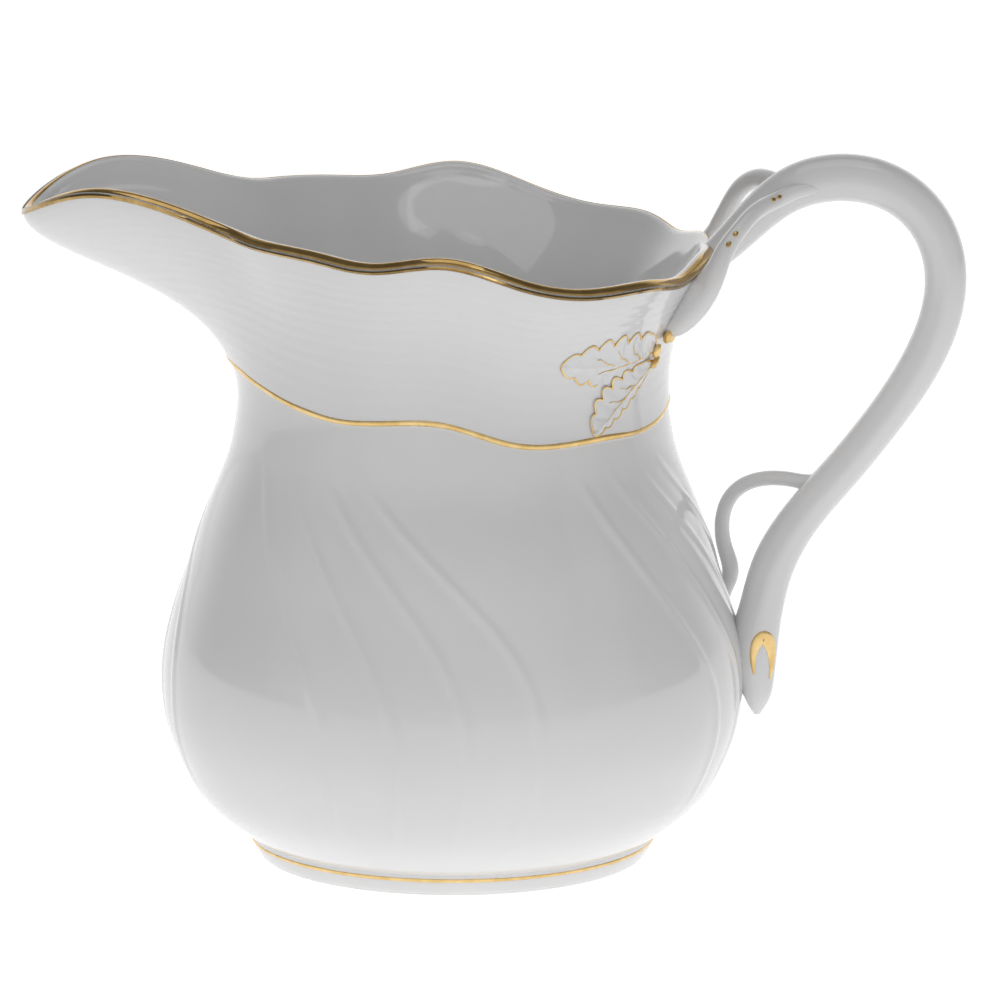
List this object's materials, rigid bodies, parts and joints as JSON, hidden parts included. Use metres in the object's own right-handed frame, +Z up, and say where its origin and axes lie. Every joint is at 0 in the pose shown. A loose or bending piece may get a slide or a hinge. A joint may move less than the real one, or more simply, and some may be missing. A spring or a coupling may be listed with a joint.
{
  "type": "cream jug",
  "caption": "Small porcelain cream jug: spiral-reeded bulbous belly, flared collar with a long pouring spout, twig handle forking over the rim, leaf sprigs and gilded edges.",
  "frame": {"origin": "centre of the foot ring on the table", "axes": "+Z up, -X towards the spout, +X towards the handle, -Y the side seen in the picture"},
  "size_m": [0.1191, 0.0742, 0.0902],
  "materials": {
    "porcelain": "clear glossy glaze",
    "foot_porcelain": "glossy glaze, wiped bare on the standing face",
    "gilding": "bright fired gold line",
    "rim_gold": "burnished gold band"
  },
  "bodies": {
    "root": {"body_shell": "porcelain", "foot_ring": "foot_porcelain", "handle_stem": "porcelain", "front_branch": "porcelain", "rear_branch": "porcelain", "tendril": "porcelain", "front_leaf_upper": "porcelain", "front_leaf_lower": "porcelain", "rear_leaf_upper": "porcelain", "rear_leaf_lower": "porcelain", "front_buds": "gilding", "rear_buds": "gilding", "rim_gilding": "rim_gold", "neck_gilding": "gilding", "foot_gilding": "gilding", "front_leaf_gilding": "gilding", "rear_leaf_gilding": "gilding", "tail_gilding_front": "gilding", "tail_gilding_rear": "gilding", "branch_dots_front": "gilding", "branch_dots_rear": "gilding"}
  },
  "joints": []
}
